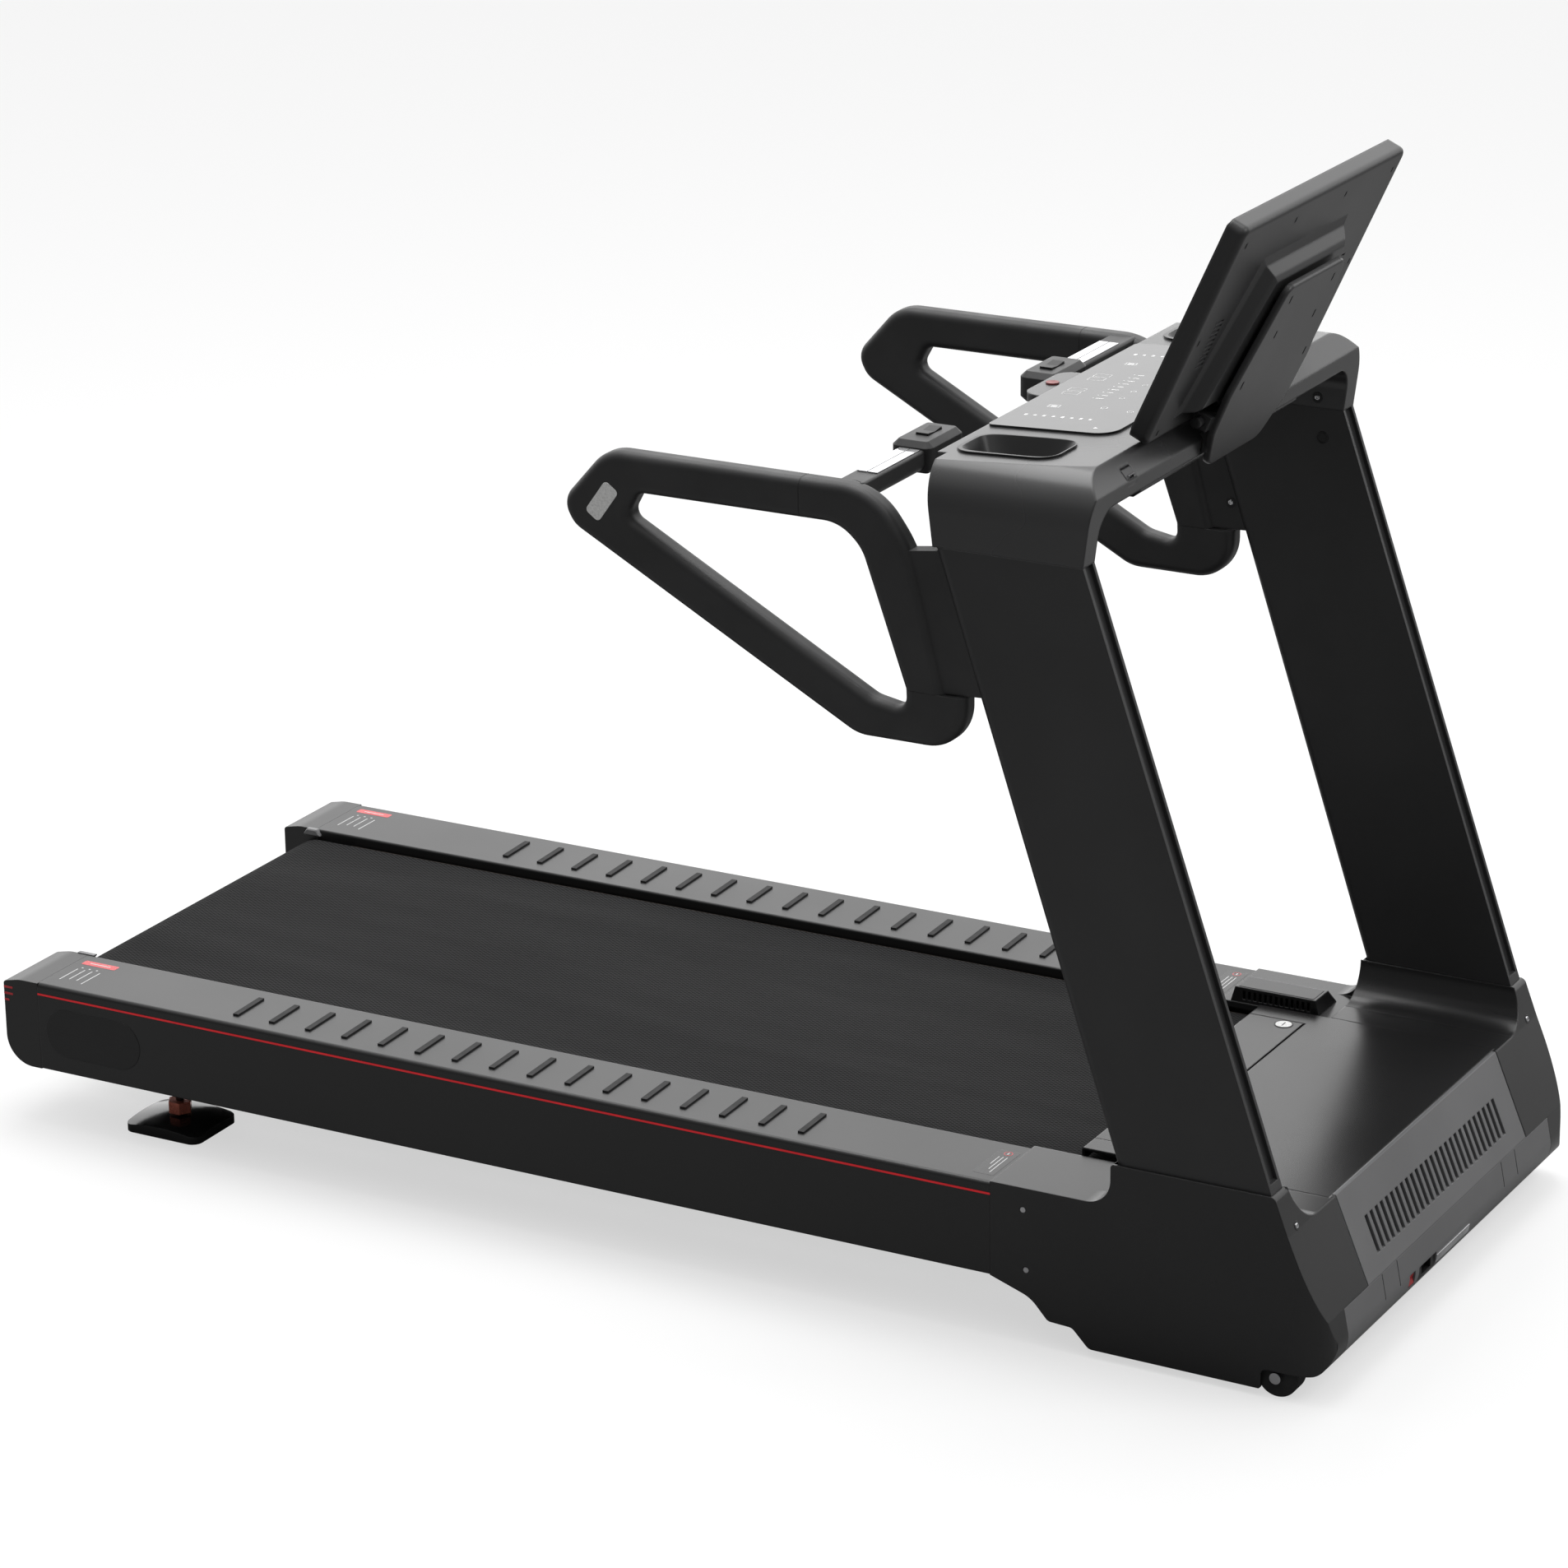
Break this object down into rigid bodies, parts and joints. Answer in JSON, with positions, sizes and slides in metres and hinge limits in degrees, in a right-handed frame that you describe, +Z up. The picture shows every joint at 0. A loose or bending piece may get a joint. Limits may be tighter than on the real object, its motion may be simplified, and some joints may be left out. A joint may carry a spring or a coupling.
{
  "type": "treadmill",
  "caption": "Motorised treadmill with a powered running belt, foot rails, a lifting nose, side handles and a tilting touch display.",
  "frame": {"origin": "middle of the bounding box at floor level", "axes": "+X towards the motor hood and console, +Y to the runner's left, +Z up"},
  "size_m": [2.1199, 0.8704, 1.5309],
  "materials": {
    "frame_steel": "satin",
    "deck_board": "waxed",
    "cushion_rubber": "matte",
    "belt_fabric": "textured matte",
    "roller_steel": "turned",
    "fastener_steel": "polished",
    "rail_plastic": "satin",
    "light_red": "gloss",
    "cover_plastic": "satin",
    "motor_paint": "satin",
    "controller_alloy": "satin",
    "socket_black": "satin",
    "foot_black": "gloss",
    "nut_copper": "satin",
    "upright_steel": "satin",
    "console_plastic": "satin",
    "key_red": "gloss",
    "keypad_gloss": "gloss",
    "screen_glass": "glass-like",
    "grip_black": "soft touch",
    "pulse_chrome": "polished"
  },
  "bodies": {
    "chassis": {"main_frame": "frame_steel", "running_deck": "deck_board", "deck_cushions": "cushion_rubber", "running_belt": "belt_fabric", "roller_mounts": "frame_steel", "tension_bolts": "fastener_steel", "side_rail_left": "rail_plastic", "side_rail_right": "rail_plastic", "led_strips": "light_red", "grip_strips": "cushion_rubber", "rear_cap_left": "rail_plastic", "rear_cap_right": "rail_plastic", "drive_motor": "motor_paint", "drive_belt": "belt_fabric", "motor_controller": "controller_alloy", "upright_left": "upright_steel", "upright_right": "upright_steel", "front_cover_left": "cover_plastic", "front_cover_right": "cover_plastic", "cover_screws": "fastener_steel", "motor_hood": "cover_plastic", "roller_guard": "cover_plastic", "louvred_block": "cover_plastic", "vent_panel": "cover_plastic", "front_bumper": "cover_plastic", "power_inlet": "socket_black", "console_bridge": "console_plastic", "cup_holders": "socket_black", "keypad_panel": "keypad_gloss", "console_underside": "console_plastic", "usb_port": "socket_black", "safety_tab": "console_plastic", "mount_shield": "console_plastic", "grip_loop_left": "grip_black", "grip_loop_right": "grip_black", "handle_joint_left": "grip_black", "handle_joint_right": "grip_black", "pulse_bars": "grip_black", "pulse_plates": "pulse_chrome", "control_pods": "grip_black"},
    "front_roller_body": {"front_roller": "roller_steel", "roller_pulley": "roller_steel"},
    "rear_roller_body": {"rear_roller": "roller_steel"},
    "rotor": {"motor_rotor": "roller_steel"},
    "incline": {"incline_frame": "frame_steel", "wheel_bolts": "fastener_steel"},
    "wheel_left_body": {"wheel_left": "cushion_rubber"},
    "wheel_right_body": {"wheel_right": "cushion_rubber"},
    "actuator": {"lift_actuator": "motor_paint"},
    "pushrod": {"lift_rod": "frame_steel"},
    "foot_left": {"rear_foot_left": "foot_black", "foot_nut_left": "nut_copper"},
    "foot_right": {"rear_foot_right": "foot_black", "foot_nut_right": "nut_copper"},
    "display": {"display_housing": "console_plastic", "display_glass": "screen_glass"},
    "switch": {"power_switch": "light_red"},
    "speed_rocker": {"speed_key": "grip_black"},
    "incline_rocker": {"incline_key": "grip_black"},
    "stop_button": {"stop_key": "key_red"}
  },
  "joints": [
    {"name": "front_roller_spin", "type": "hinge", "parent": "chassis", "child": "front_roller_body", "pos_m": [0.685, 0, 0.1612], "axis": [0, 1, 0], "continuous": true},
    {"name": "rear_roller_spin", "type": "hinge", "parent": "chassis", "child": "rear_roller_body", "pos_m": [-0.986, 0, 0.1612], "axis": [0, 1, 0], "continuous": true},
    {"name": "motor_spin", "type": "hinge", "parent": "chassis", "child": "rotor", "pos_m": [0.845, 0, 0.15], "axis": [0, 1, 0], "continuous": true},
    {"name": "incline", "type": "hinge", "parent": "chassis", "child": "incline", "pos_m": [0.755, 0, 0.075], "axis": [0, 1, 0], "range_deg": [0, 36]},
    {"name": "wheel_left_spin", "type": "hinge", "parent": "incline", "child": "wheel_left_body", "pos_m": [0.988, 0.411, 0.0295], "axis": [0, 1, 0], "continuous": true},
    {"name": "wheel_right_spin", "type": "hinge", "parent": "incline", "child": "wheel_right_body", "pos_m": [0.988, -0.411, 0.0295], "axis": [0, 1, 0], "continuous": true},
    {"name": "lift_swing", "type": "hinge", "parent": "chassis", "child": "actuator", "pos_m": [1.002, 0, 0.166], "axis": [0, -1, 0], "range_deg": [0, 6.77]},
    {"name": "lift_stroke", "type": "slide", "parent": "actuator", "child": "pushrod", "axis": [0.9961, 0, 0.0883], "range_m": [0, 0.03683]},
    {"name": "foot_left_height", "type": "slide", "parent": "chassis", "child": "foot_left", "axis": [0, 0, -1], "range_m": [0, 0.015]},
    {"name": "foot_right_height", "type": "slide", "parent": "chassis", "child": "foot_right", "axis": [0, 0, -1], "range_m": [0, 0.015]},
    {"name": "display_tilt", "type": "hinge", "parent": "chassis", "child": "display", "pos_m": [0.72171, 0, 1.22378], "axis": [0, 1, 0], "range_deg": [-6, 0]},
    {"name": "power_switch_rock", "type": "hinge", "parent": "chassis", "child": "switch", "pos_m": [1.048, -0.143, 0.068], "axis": [0, 1, 0], "range_deg": [0, 8]},
    {"name": "speed_rock", "type": "hinge", "parent": "chassis", "child": "speed_rocker", "pos_m": [0.35, -0.185, 1.173], "axis": [1, 0, 0], "range_deg": [-4, 4], "stiffness_Nm_per_rad": 0.6},
    {"name": "incline_rock", "type": "hinge", "parent": "chassis", "child": "incline_rocker", "pos_m": [0.35, 0.185, 1.173], "axis": [1, 0, 0], "range_deg": [-4, 4], "stiffness_Nm_per_rad": 0.6},
    {"name": "stop_press", "type": "slide", "parent": "chassis", "child": "stop_button", "axis": [0, 0, -1], "range_m": [0, 0.002], "stiffness_N_per_m": 600}
  ],
  "couplings": [
    {"joint": "rear_roller_spin", "follows": "front_roller_spin", "ratio": 1},
    {"joint": "motor_spin", "follows": "front_roller_spin", "ratio": 1.9091},
    {"joint": "lift_swing", "follows": "incline", "ratio": 0.17887},
    {"joint": "lift_stroke", "follows": "incline", "m_per_rad": 0.057471}
  ]
}
